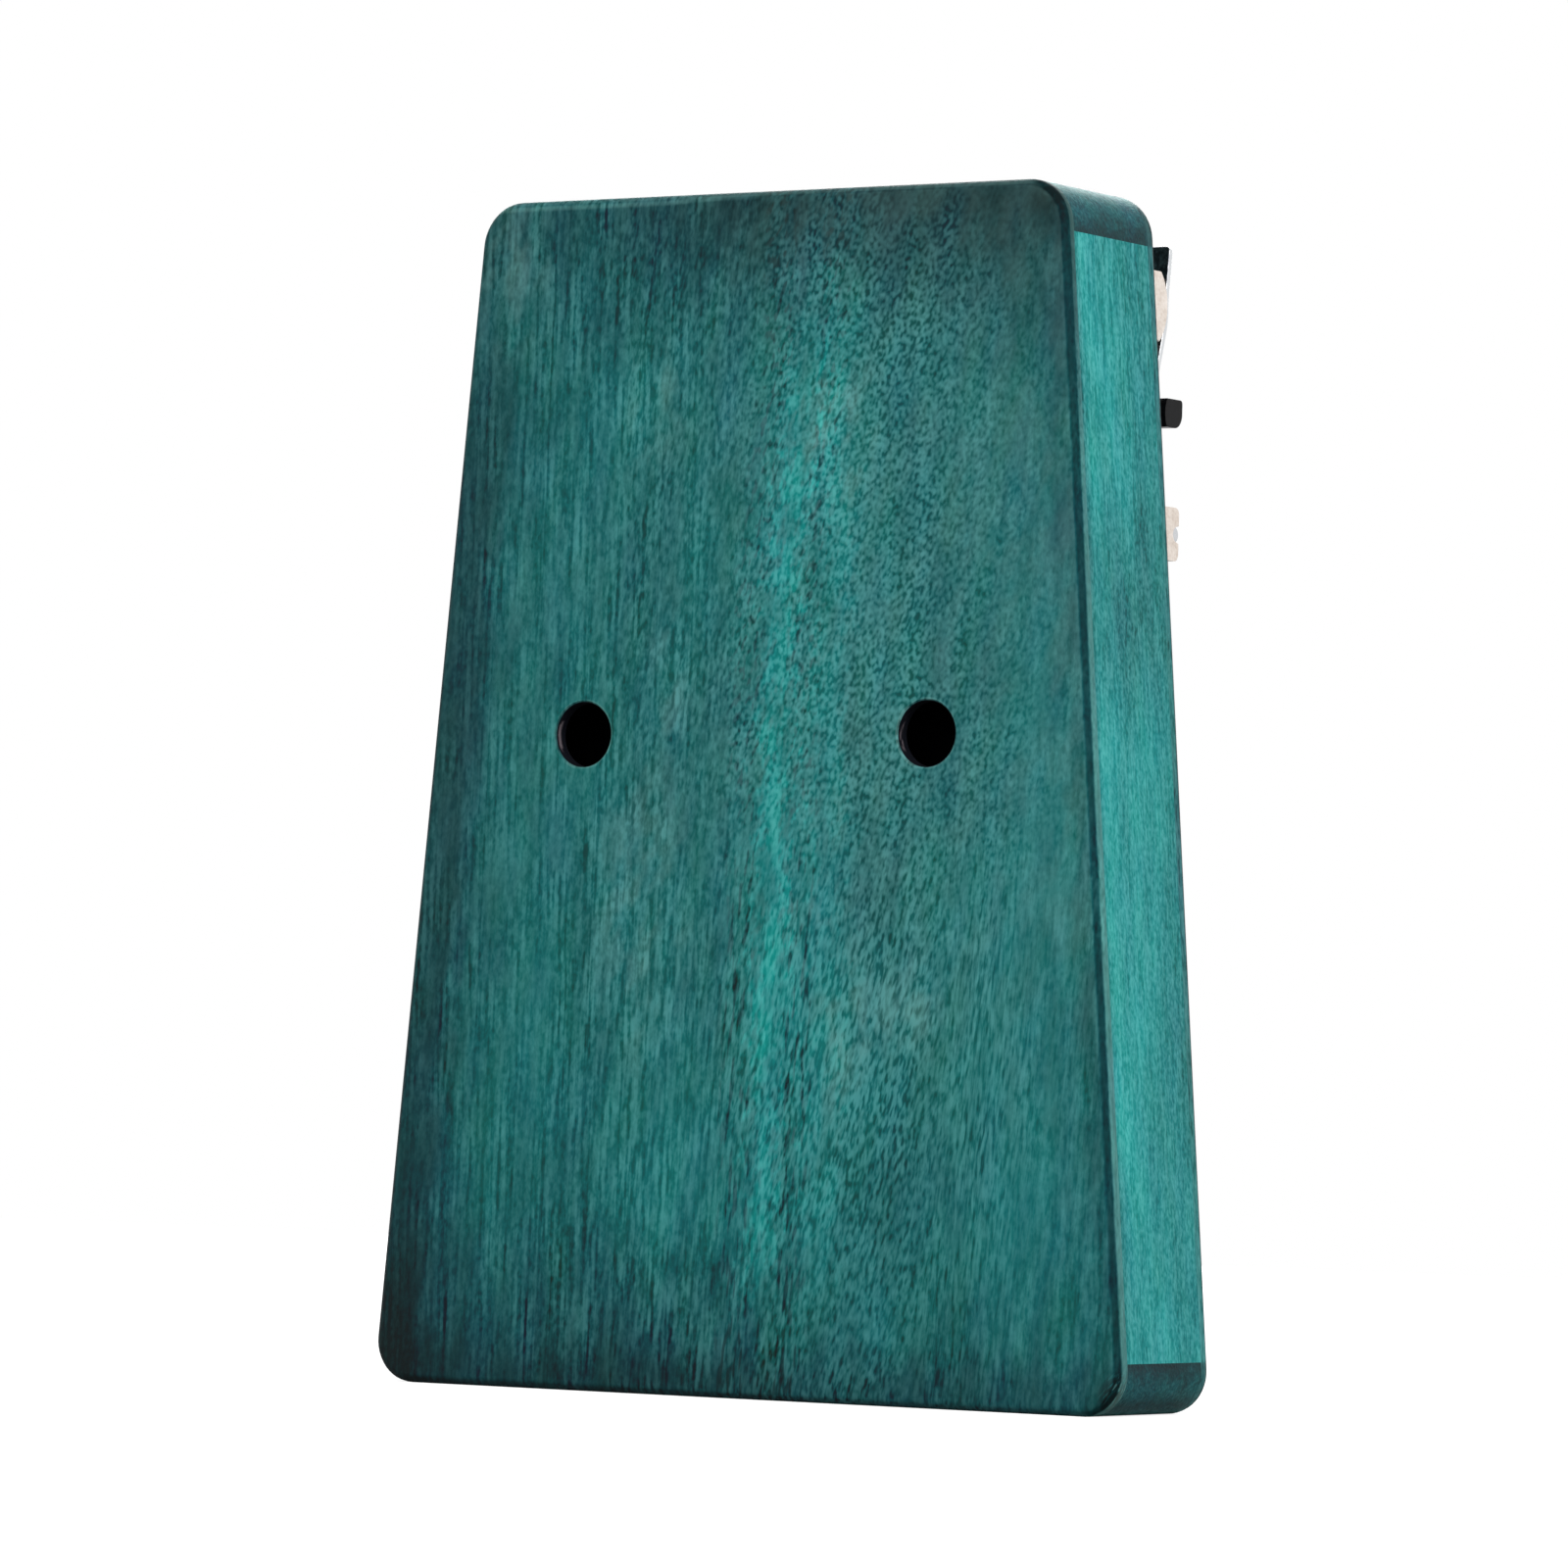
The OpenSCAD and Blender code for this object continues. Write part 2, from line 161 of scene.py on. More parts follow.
def edge_distances(tree, place):
    """Distance in from the -X side, the +X side, the head and the foot of the box."""
    tilt = math.hypot(1, SIDE_SLOPE)
    faces = (
        ((1 / tilt, 0, -SIDE_SLOPE / tilt), FOOT_HALF / tilt),
        ((-1 / tilt, 0, -SIDE_SLOPE / tilt), FOOT_HALF / tilt),
        ((0, 0, -1), HEAD_Z),
        ((0, 0, 1), 0.0),
    )
    distances = []
    for normal, start in faces:
        along = add(tree, "ShaderNodeVectorMath", {0: place, 1: normal}, out=1, operation="DOT_PRODUCT")
        distances.append(maths(tree, "ADD", along, start))
    return distances


# Lightness of the stain from its darkest pools to the bright figure
STAIN = (
    (0.00, "#04171A"),
    (0.20, "#0B3438"),
    (0.38, "#135054"),
    (0.50, "#1B6666"),
    (0.64, "#258180"),
    (0.80, "#2E9F9A"),
    (1.00, "#3DC0B8"),
)
# Grey-green tint for wear and for painted sheen and highlights
WEAR_AND_SHEEN_TINT = "#6F9A95"
GRAIN_TINT = (0.0176, 0.0473, 0.0473)
HUE_TINT = (0.0, 0.005, -0.006)
# The grain levels off at a limit, through a smooth step, which is half as steep again in its middle
GRAIN_LIMIT = 3.0
STEP_SLOPE = 1.5
# No pore is darker than this
DEEPEST = (0.004, 0.010, 0.011)
# Painted shade: near black for the wood inside the box and the walls of its finger holes; and a painted highlight
# on the wall of a hole where light falls on it
INSIDE_SHADE = "#0D0F15"
HOLE_HIGHLIGHT = "#6F666B"


def teal_finish(tree, place, lightness, grain, height, wear_and_sheen, inside, sheen=0.12, inside_shade_and_highlight=linear(INSIDE_SHADE)):
    """Satin lacquer over stained mahogany: colour from the stain's lightness, drifting between a blue and a green
    teal, a grey-green tint for wear and painted sheen, and the grain on top, whose raised fibres catch a paler light
    and whose open pores sink dark. Where inside is 1 the colour is the last argument: painted shade inside the box,
    with any painted highlight on it."""
    stain = add(tree, "ShaderNodeValToRGB", {"Fac": lightness}, stops=STAIN)
    tinted = add(tree, "ShaderNodeMix", {0: wear_and_sheen, 6: stain, 7: linear(WEAR_AND_SHEEN_TINT)}, out=2, data_type="RGBA")
    depth = step(tree, lightness, 0.10, 0.52, 0.2, 1.0)
    drift = maths(tree, "MULTIPLY", swing(tree, fibres(tree, place, 5, 16, -8, 1), 2.0), depth)
    tinted = add(tree, "ShaderNodeVectorMath", {0: drift, 1: HUE_TINT, 2: tinted}, operation="MULTIPLY_ADD")
    most = GRAIN_LIMIT / STEP_SLOPE
    grain = maths(tree, "MULTIPLY", step(tree, grain, -GRAIN_LIMIT, GRAIN_LIMIT, -most, most), depth)
    grained = add(tree, "ShaderNodeVectorMath", {0: grain, 1: GRAIN_TINT, 2: tinted}, operation="MULTIPLY_ADD")
    grained = add(tree, "ShaderNodeVectorMath", {0: grained, 1: DEEPEST}, operation="MAXIMUM")
    colour = add(tree, "ShaderNodeMix", {0: inside, 6: grained, 7: inside_shade_and_highlight}, out=2, data_type="RGBA")
    gloss = add(tree, "ShaderNodeMapRange", {
        "Value": grain, "From Min": -2, "From Max": 2, "To Min": 0.60, "To Max": 0.46,
    })
    relief = add(tree, "ShaderNodeBump", {"Height": height, "Strength": 0.6, "Distance": 0.12 * MM})
    surface(tree, Base_Color=colour, Roughness=gloss, Normal=relief, Specular_IOR_Level=sheen, IOR=1.5)


def pores(tree, place, across, along, lean, amount, turn=0.0):
    """Open pores: short dashes that drink the stain dark, on a ground that stays level."""
    dark = step(tree, fibres(tree, place, across, along, lean, 1, turn), 0.52, 0.32)
    return add(tree, "ShaderNodeMath", {0: dark, 1: -3.4 * amount, 2: 1.3 * amount}, operation="MULTIPLY_ADD")


BACK_TONE = 0.51
# Paler, greyer patches on the back board: middle x and z, width and height in millimetres
PALE_PATCHES = (
    (16, 110, 12, 34),
    (20, 152, 16, 30),
    (20, 75, 26, 70),
    (-18, 55, 22, 40),
    (-30, 60, 16, 22),
    (-14, 148, 20, 36),
    (47, 174, 22, 40),
)
# Broad changes of tone in the back's stain: middle x and z, width and height in millimetres, lightness gained
SHADES = (
    (-48, 172, 44, 66, -0.06),
    (-50, 66, 44, 108, 0.06),
    (64, 8, 26, 44, -0.09),
    (15, 34, 34, 68, 0.08),
    (22, 176, 46, 26, 0.06),
    (-8, 168, 16, 34, -0.05),
    (-18, 167, 18, 24, 0.06),
    (-48, 26, 26, 44, 0.05),
    (38, 60, 22, 66, 0.05),
)
# Distance between the straight dark fibres of the combed half, and how far they are drawn out, in millimetres
COMB_PITCH = 1.5
COMB_LENGTH = 9
# Distance between the bands of a wave texture whose scale is 1
WAVE_PITCH = math.tau / 20
# Bands of the bright figure: distance to -X low down and high up and width in millimetres, the share of the band that
# is left at the head, lightness gained
BANDS = (
    (4.2, 8.0, 4.2, 0.35, 0.18),
    (14.2, 14.2, 5.0, 0.6, 0.09),
)


def back_grain(tree, place, x, z, wander, patch, low_part, pale_patches):
    """The back's grain, and the slanting pores in it: straight combed lines and long dark streaks on the +X half,
    dashes over the middle, and slanting pores on the -X half that lengthen low down and calm by the far side."""
    far_side = step(tree, wander, -0.026, -0.042)

    lines = swing(tree, fibres(tree, place, 1.0, 10, -1.5, 1.5), 3.2)
    line_share = maths(
        tree, "ADD", step(tree, wander, 0.002, 0.028, 0.30, 0.85), maths(tree, "MULTIPLY", far_side, low_part, 0.35),
    )

    drawn_out = add(tree, "ShaderNodeMapping", {
        "Vector": place, "Scale": (MM, MM, COMB_LENGTH * MM),
    }, vector_type="TEXTURE")
    comb = add(tree, "ShaderNodeTexWave", {
        "Vector": drawn_out, "Scale": WAVE_PITCH / COMB_PITCH, "Distortion": 7.0, "Detail": 2.0, "Detail Scale": 1.6,
    }, out=1, wave_type="BANDS", bands_direction="X")
    comb = maths(tree, "MULTIPLY", step(tree, comb, 0.60, 0.10, 0.40, -0.85), step(tree, patch, 0.40, 0.62))
    streaks = step(tree, fibres(tree, place, 0.9, 70, -1, 0), 0.37, 0.27, 0.08, -0.85)

    dashes = add(tree, "ShaderNodeMix", {
        0: low_part,
        2: fibres(tree, place, 0.68, 2.0, -10, 1),
        3: fibres(tree, place, 0.70, 5.5, -4, 1),
    })
    off_dashes = absolute(tree, maths(tree, "SUBTRACT", wander, 0.008))
    dash_share = maths(
        tree, "MULTIPLY", step(tree, low_part, 0.0, 1.0, 1.0, 1.25), step(tree, off_dashes, 0.032, 0.006, 0.10, 0.72),
    )

    grit = swing(tree, fibres(tree, place, 0.66, 1.2, -6, 1), 2.6)

    low_pores = add(tree, "ShaderNodeMix", {
        0: far_side,
        2: fibres(tree, place, 0.62, 1.9, -14, 1),
        3: fibres(tree, place, 0.54, 3.6, -6, 1),
    })
    slanted = add(tree, "ShaderNodeMix", {0: low_part, 2: fibres(tree, place, 0.62, 0.90, -25, 0.5), 3: low_pores})
    pebbles = maths(tree, "SUBTRACT", swing(tree, slanted, 4.4), step(tree, slanted, 0.46, 0.30, -0.12, 0.5))
    lively = step(tree, z, 0.085, 0.125, 1.40, 1.00)
    calm = maths(tree, "MULTIPLY", step(tree, z, 0.085, 0.125, 1.15, 0.45), step(tree, x, -0.040, -0.056, 1.0, 0.25))
    pebble_share = maths(
        tree, "MULTIPLY", step(tree, z, 0.010, 0.040, 0.55, 1.0), step(tree, wander, 0.010, -0.008),
        add(tree, "ShaderNodeMix", {0: far_side, 2: lively, 3: calm}),
    )

    grain = maths(
        tree, "ADD",
        maths(tree, "MULTIPLY", lines, line_share),
        maths(tree, "MULTIPLY", maths(tree, "ADD", comb, streaks), step(tree, wander, 0.002, 0.018)),
        maths(tree, "MULTIPLY", swing(tree, dashes, 4.0), dash_share),
        maths(tree, "MULTIPLY", grit, step(tree, wander, -0.010, 0.020, 0.60, 0.9)),
        maths(tree, "MULTIPLY", pebbles, pebble_share),
    )
    grain = maths(
        tree, "MULTIPLY", grain, step(tree, patch, 0.35, 0.65, 0.7, 1.25), step(tree, pale_patches, 0.0, 1.0, 1.0, 1.3),
        step(tree, wander, 0.030, 0.050, 1.0, 0.8),
    )
    return grain, slanted


def back_figure(tree, place, x, z, cloud, patch, low_part):
    """The bright ribbon down the middle of the back, and the dark slashes beside it."""
    jagged = swing(tree, fibres(tree, place, 1.1, 2.6, -16, 2), 0.0070)
    offsets, bands = [], []
    for low_x, high_x, wide, top, gain in BANDS:
        path = step(tree, z, 0.115, 0.165, low_x * MM, high_x * MM)
        offset = absolute(tree, maths(tree, "ADD", x, path, swing(tree, cloud, 0.0014)))
        band = step(tree, maths(tree, "ADD", offset, jagged), wide * MM, 0.1 * wide * MM, 0.0, gain)
        offsets.append(offset)
        bands.append(maths(tree, "MULTIPLY", band, step(tree, z, 0.140, 0.168, 1.0, top)))
    ribbon = maths(
        tree, "MULTIPLY", maths(tree, "ADD", *bands), step(tree, patch, 0.34, 0.56, 0.35, 1.0),
        step(tree, z, 0.006, 0.024),
    )
    ribbon = maths(tree, "ADD", ribbon, maths(tree, "MULTIPLY", spot(tree, place, -6, 60, 15, 34), 0.12))

    beside = maths(tree, "MULTIPLY", step(tree, offsets[0], 0.0018, 0.0034), step(tree, offsets[0], 0.0100, 0.0060))
    slashes = add(tree, "ShaderNodeMix", {
        0: low_part,
        2: fibres(tree, place, 0.9, 2.2, -18, 1),
        3: fibres(tree, place, 0.85, 5.5, -5, 1),
    })
    slashed = maths(
        tree, "MULTIPLY", beside, step(tree, slashes, 0.48, 0.36, -0.2, 1.0),
        step(tree, low_part, 0.0, 1.0, 0.15, 0.17),
    )
    return ribbon, slashed


def back_pools(tree, x, z, patch, edges):
    """Stain pooled dark along the edges of the back, each pool as lightness lost."""
    right, left, head, foot = edges
    ragged = swing(tree, patch, 0.004)
    upper_left = step(tree, z, 0.140, 0.172, 1.0, 0.5)
    return [
        maths(tree, "MULTIPLY", step(tree, maths(tree, "ADD", edge, ragged), reach, core, 0.0, depth), share)
        for edge, reach, core, depth, share in (
            (right, 0.0060, 0.0010, 0.09, 1.0),
            (left, 0.0105, 0.0060, 0.15, upper_left),
            (left, 0.022, 0.006, 0.08, upper_left),
            (head, 0.016, 0.004, 0.13, step(tree, x, 0.012, 0.038, 1.0, 0.35)),
            (head, 0.030, 0.008, 0.15, step(tree, x, 0.012, 0.042, 1.0, 0.40)),
            (head, 0.0070, 0.0020, 0.08, step(tree, x, 0.020, -0.010)),
            (foot, 0.011, 0.002, 0.14, 1.0),
            (foot, 0.032, 0.008, 0.13, step(tree, x, 0.004, -0.030, 1.0, 0.15)),
        )
    ]


def back_holes(tree, place, x, y, z, towards_x, blot):
    """The finger holes: where their walls are, a painted highlight on the mouth round each, and the light that falls
    just inside, painted as a highlight on the wall.
    """
    aside = maths(tree, "SUBTRACT", absolute(tree, x), HOLE_X)
    above = maths(tree, "SUBTRACT", z, HOLE_Z)
    across = add(tree, "ShaderNodeCombineXYZ", {0: aside, 1: above})
    from_hole = add(tree, "ShaderNodeVectorMath", {0: across}, out=1, operation="LENGTH")
    in_hole = step(tree, from_hole, HOLE_RADIUS + 0.12 * MM, HOLE_RADIUS + 0.06 * MM)
    mouth_highlight = maths(tree, "SUBTRACT", step(tree, from_hole, HOLE_RADIUS + 0.6 * MM, HOLE_RADIUS + 0.3 * MM), in_hole)
    mouth_highlight = maths(tree, "MULTIPLY", mouth_highlight, step(tree, blot, 0.40, 0.60, 0.25, 1.0))
    below_face = absolute(tree, maths(tree, "SUBTRACT", y, BACK_Y - 0.9 * MM))
    gleam = maths(
        tree, "MULTIPLY", in_hole, step(tree, towards_x, -0.80, -0.97),
        step(tree, fibres(tree, place, 1.0, 2.4, 0, 1), 0.40, 0.56),
        step(tree, below_face, 0.0006, 0.0001, 0.0, 0.7),
    )
    return in_hole, mouth_highlight, gleam


def back_finish():
    """Flat-sawn mahogany back, wiped with teal stain: straight combed fibres on one half, fine slanting pores on
    the other, a bright figure down the middle, stain pooled dark along the edges, paler patches, painted shade on the
    rounded edge, painted highlights on the mouths of the finger holes, on one arris and along the head, and a painted
    sheen over the middle, strongest on the -X half."""
    material, tree = new_material("teal_stained_mahogany_back")
    place = add(tree, "ShaderNodeTexCoord", out=3)
    x, y, z = parts_of(tree, place)
    towards_x, facing, towards_z = parts_of(tree, add(tree, "ShaderNodeNewGeometry", out=1))
    edges = edge_distances(tree, place)
    head = edges[2]

    cloud = fibres(tree, place, 14, 40, detail=3)
    patch = fibres(tree, place, 4.5, 13, -4, 2)
    blot = fibres(tree, place, 4, 8, -18, 2)
    wander = maths(tree, "ADD", x, swing(tree, cloud, 0.016))
    low_part = step(tree, z, 0.115, 0.055)
    pale_patches = maths(tree, "ADD", *(spot(tree, place, *spread) for spread in PALE_PATCHES))
    shades = [maths(tree, "MULTIPLY", spot(tree, place, *spread), gain) for *spread, gain in SHADES]
    grain, slanted = back_grain(tree, place, x, z, wander, patch, low_part, pale_patches)
    ribbon, slashed = back_figure(tree, place, x, z, cloud, patch, low_part)
    in_hole, mouth_highlight, gleam = back_holes(tree, place, x, y, z, towards_x, blot)

    # The rounded edge: painted shade on the round; painted highlights on the arris of the -X side,
    # on the round at the head and along a line and a lip at the head
    on_right = step(tree, towards_x, 0.0, -0.25)
    on_head = maths(tree, "MULTIPLY", step(tree, towards_z, 0.05, 0.30), step(tree, towards_x, -0.30, -0.02))
    rolled = maths(tree, "ADD", facing, maths(tree, "MULTIPLY", on_right, step(tree, z, 0.085, 0.165, 0.0, 0.27)))
    on_round = maths(tree, "MULTIPLY", step(tree, facing, 0.995, 0.80), step(tree, rolled, 0.20, 0.55))
    # Painted shade: the round is darkened, most on the -X side, less on the round at the head, fading out near the head
    rim_shade_depth = maths(
        tree, "ADD", 0.10, maths(tree, "MULTIPLY", on_right, 0.12), maths(tree, "MULTIPLY", on_head, -0.09),
    )
    painted_rim_shade = maths(tree, "MULTIPLY", on_round, step(tree, z, 0.150, 0.178, 1.0, 0.1), rim_shade_depth)
    # Painted highlight: a pale arris on the -X side, in blotches
    blotted = maths(tree, "ADD", rolled, swing(tree, blot, 0.12))
    arris_highlight = maths(
        tree, "MULTIPLY", step(tree, blotted, 0.50, 0.20), on_right, step(tree, z, 0.10, 0.17, 1.0, 0.8),
    )
    # Painted highlight: a pale line just inside the head on the +X half
    off_line = absolute(tree, maths(tree, "SUBTRACT", head, step(tree, x, 0.008, 0.020, 0.0009, 0.0013)))
    head_highlight_line = maths(
        tree, "MULTIPLY", step(tree, off_line, 0.0006, 0.0001), step(tree, blot, 0.36, 0.52, 0.5, 1.0),
        step(tree, x, -0.002, 0.010),
    )
    # Painted highlight: a slightly paler lip just inside the head on the +X half
    head_highlight_lip = maths(tree, "MULTIPLY", step(tree, head, 0.0018, 0.0012, 0.0, 0.05), step(tree, x, 0.004, 0.020))

    # A scratched scuff at the foot of the -X side
    scuff = spot(tree, place, -68.2, 2.8, 10, 10)
    scratches = fibres(tree, place, 0.45, 5, -42, 1)
    scorch = maths(tree, "MULTIPLY", scuff, step(tree, scratches, 0.56, 0.44, -0.05, 0.45))
    bared = maths(tree, "MULTIPLY", scuff, step(tree, scratches, 0.58, 0.66, 0.0, 0.35))

    glow_band = step(tree, absolute(tree, maths(tree, "ADD", wander, 0.012)), 0.020, 0.002)
    lightness = maths(
        tree, "ADD", BACK_TONE, swing(tree, cloud, 0.10), swing(tree, patch, 0.08), ribbon,
        maths(tree, "MULTIPLY", glow_band, 0.04), maths(tree, "MULTIPLY", pale_patches, 0.05),
        maths(tree, "MULTIPLY", arris_highlight, 0.07), maths(tree, "MULTIPLY", head_highlight_line, 0.04),
        maths(tree, "MULTIPLY", mouth_highlight, 0.08), head_highlight_lip, *shades,
    )
    lightness = maths(tree, "SUBTRACT", lightness, slashed, *back_pools(tree, x, z, patch, edges), painted_rim_shade, scorch)

    # Painted sheen: a grey-green haze over the middle of the back, strongest on the -X half
    painted_sheen = maths(
        tree, "MULTIPLY", step(tree, x, 0.03, -0.02, 0.035, 0.12), step(tree, z, 0.02, 0.09, 0.15, 1.0),
        step(tree, z, 0.135, 0.175, 1.0, 0.8), step(tree, blot, 0.34, 0.66, 0.5, 1.5),
    )
    wear_and_sheen = maths(tree, "ADD", painted_sheen, maths(tree, "MULTIPLY", pale_patches, step(tree, blot, 0.40, 0.65, 0.05, 0.24)))
    wear_and_sheen = maths(tree, "MULTIPLY", wear_and_sheen, step(tree, ribbon, 0.02, 0.12, 1.0, 0.3), step(tree, facing, 0.90, 0.99))
    # Also grey-green: painted highlights on arris, head line, head round and hole mouths; the scuff's bared wood
    wear_and_sheen = maths(
        tree, "ADD", wear_and_sheen, maths(tree, "MULTIPLY", arris_highlight, 0.27), maths(tree, "MULTIPLY", head_highlight_line, 0.20),
        maths(tree, "MULTIPLY", on_round, on_head, 0.17), bared, maths(tree, "MULTIPLY", mouth_highlight, 0.36),
    )

    # Painted shade inside the box and its finger holes, with a painted highlight on the lit part of a hole's wall
    inside_shade_and_highlight = add(tree, "ShaderNodeMix", {0: gleam, 6: linear(INSIDE_SHADE), 7: linear(HOLE_HIGHLIGHT)}, out=2, data_type="RGBA")
    inside = maths(tree, "MAXIMUM", in_hole, step(tree, facing, -0.2, -0.6))
    sheen = step(tree, maths(tree, "MULTIPLY", on_round, on_right), 0.0, 0.6, 0.12, 0.02)
    teal_finish(tree, place, lightness, grain, slanted, wear_and_sheen, inside, sheen, inside_shade_and_highlight)
    return material


FRONT_TONE = 0.54
FRONT_EDGE_TONE = 0.56
# How far the stain pools in from the -X side, the +X side, the head and the foot, and the lightness lost there
FRONT_POOLS = ((0.016, 0.20), (0.016, 0.20), (0.034, 0.40), (0.018, 0.24))
# The tone of the sound board's edge changes over this much each way from the joints below it
JOINT_BLUR = 0.5 * MM


def front_finish():
    """Quarter-sawn mahogany sound board in the same stain: straight fibres, the face pooled dark all round, painted
    shade on the rounded edge of the face, and an edge darkened by painted shade, darker still round the corners,
    where it shows end grain."""
    material, tree = new_material("teal_stained_mahogany_front")
    place = add(tree, "ShaderNodeTexCoord", out=3)
    z = parts_of(tree, place)[2]
    towards_x, facing, _ = parts_of(tree, add(tree, "ShaderNodeNewGeometry", out=1))
    cloud = fibres(tree, place, 14, 60, detail=3)
    patch = fibres(tree, place, 4.5, 16, 0, 2)
    lines = fibres(tree, place, 0.8, 18, 0, 2)
    grain = maths(
        tree, "ADD",
        swing(tree, lines, 3.0),
        pores(tree, place, 0.46, 2.8, 2, 0.6),
        swing(tree, fibres(tree, place, 0.46, 0.7, 0, 1), 1.4),
    )
    pools = [
        step(tree, maths(tree, "ADD", edge, swing(tree, patch, 0.004)), reach, 0.0, 0.0, depth)
        for edge, (reach, depth) in zip(edge_distances(tree, place), FRONT_POOLS)
    ]
    face = step(tree, facing, -0.10, -0.60)
    # Painted shade on the rounded edge of the face
    painted_rim_shade = maths(tree, "MULTIPLY", step(tree, facing, -0.98, -0.80), step(tree, facing, -0.02, -0.20), 0.30)
    head_joint = HEAD_Z - END_RAIL
    by_ends = maths(
        tree, "ADD", step(tree, z, END_RAIL + JOINT_BLUR, END_RAIL - JOINT_BLUR),
        step(tree, z, head_joint - JOINT_BLUR, head_joint + JOINT_BLUR),
    )
    aside = step(tree, absolute(tree, towards_x), 0.25, 0.80)
    shaded = maths(tree, "MULTIPLY", aside, step(tree, by_ends, 0.0, 1.0, 0.10, 0.30))
    edge = maths(tree, "SUBTRACT", FRONT_EDGE_TONE, shaded)
    ground = add(tree, "ShaderNodeMix", {0: face, 2: edge, 3: FRONT_TONE})
    lightness = maths(tree, "ADD", ground, swing(tree, cloud, 0.18), swing(tree, patch, 0.10))
    lightness = maths(tree, "SUBTRACT", lightness, painted_rim_shade, maths(tree, "MULTIPLY", maths(tree, "ADD", *pools), face))
    wear_and_sheen = step(tree, patch, 0.35, 0.75, 0.02, 0.10)
    teal_finish(tree, place, lightness, grain, lines, wear_and_sheen, step(tree, facing, 0.2, 0.6))
    return material


def side_rail_finish():
    """Side rail, long grain up the box: straight fibres, stronger towards the head, broken by fine flecks, a few dark
    vessels and a band of darker figure."""
    material, tree = new_material("teal_stained_mahogany_side")
    place = add(tree, "ShaderNodeTexCoord", out=3)
    x, y, z = parts_of(tree, place)
    towards_x = parts_of(tree, add(tree, "ShaderNodeNewGeometry", out=1))[0]
    outwards = maths(tree, "MULTIPLY", towards_x, x)
    cloud = fibres(tree, place, 7, 26, 0, 2)
    lines = fibres(tree, place, 0.7, 22, 0, 2)
    grain = maths(
        tree, "ADD",
        maths(tree, "MULTIPLY", swing(tree, lines, 2.4), step(tree, z, 0.130, 0.160, 1.0, 1.7)),
        swing(tree, fibres(tree, place, 0.55, 1.0, -6, 1), 3.1),
        swing(tree, fibres(tree, place, 1.3, 3.0, -4, 1), 1.2),
        step(tree, fibres(tree, place, 0.6, 14, 0, 1), 0.36, 0.24, 0.15, -1.6),
    )
    figure_band = step(tree, absolute(tree, maths(tree, "SUBTRACT", z, 0.121)), 0.022, 0.004, 0.0, 0.09)
    by_back = maths(tree, "MULTIPLY", step(tree, y, 0.0094, 0.0110), step(tree, z, 0.09, 0.16, 0.06, 0.12))
    ground = maths(tree, "SUBTRACT", step(tree, y, -0.012, 0.009, 0.58, 0.68), by_back)
    lightness = maths(tree, "SUBTRACT", maths(tree, "ADD", ground, swing(tree, cloud, 0.14)), figure_band)
    teal_finish(tree, place, lightness, grain, lines, 0.0, step(tree, outwards, 0.0, -0.01))
    return material


END_TONE = 0.50


def end_rail_finish():
    """Head and foot rail, long grain across the box: the open end grain at the corners drinks the stain dark, most
    of all along its joint with the side rail. Painted shade darkens the very bottom of the foot and a painted
    highlight lightens the top of the head."""
    material, tree = new_material("teal_stained_mahogany_end")
    place = add(tree, "ShaderNodeTexCoord", out=3)
    z = parts_of(tree, place)[2]
    towards_x, _, towards_z = parts_of(tree, add(tree, "ShaderNodeNewGeometry", out=1))
    from_middle = maths(tree, "SUBTRACT", z, HEAD_Z / 2)
    outwards = maths(tree, "MULTIPLY", towards_z, from_middle)
    end_grain = step(tree, absolute(tree, towards_x), 0.25, 0.80)
    mottle = fibres(tree, place, 4, 3, 0, 2)
    grit = fibres(tree, place, 0.55, 0.55, 0, 1)
    long_grain = maths(
        tree, "ADD", swing(tree, fibres(tree, place, 0.6, 30, 0, 2, 90), 2.6), pores(tree, place, 0.5, 2.6, 0, 0.4, 90),
    )
    long_grain = maths(tree, "MULTIPLY", long_grain, step(tree, end_grain, 0.0, 1.0, 1.0, 0.0))
    grain = maths(tree, "ADD", swing(tree, grit, 2.2), long_grain)
    joint = HEAD_Z / 2 - END_RAIL
    ragged = maths(tree, "ADD", absolute(tree, from_middle), swing(tree, mottle, 0.003))
    # End grain drinks the stain darkest along its joint with the side rail; painted shade darkens the foot's bottom
    end_grain_stain_and_light = maths(
        tree, "SUBTRACT", step(tree, ragged, joint, joint + 4.5 * MM, 0.15, 0.31),
        step(tree, z, 0.0030, 0.0, 0.0, 0.18),
    )
    # Painted highlight along the top of the head
    end_grain_stain_and_light = maths(tree, "ADD", end_grain_stain_and_light, step(tree, z, 0.1800, 0.1845, 0.0, 0.12))
    ground = add(tree, "ShaderNodeMix", {0: end_grain, 2: END_TONE, 3: end_grain_stain_and_light})
    lightness = maths(tree, "ADD", ground, swing(tree, mottle, 0.12))
    wear_and_sheen = step(tree, end_grain, 0.0, 1.0, 0.06, 0.0)
    teal_finish(tree, place, lightness, grain, grit, wear_and_sheen, step(tree, outwards, 0.0, -0.02))
    return material


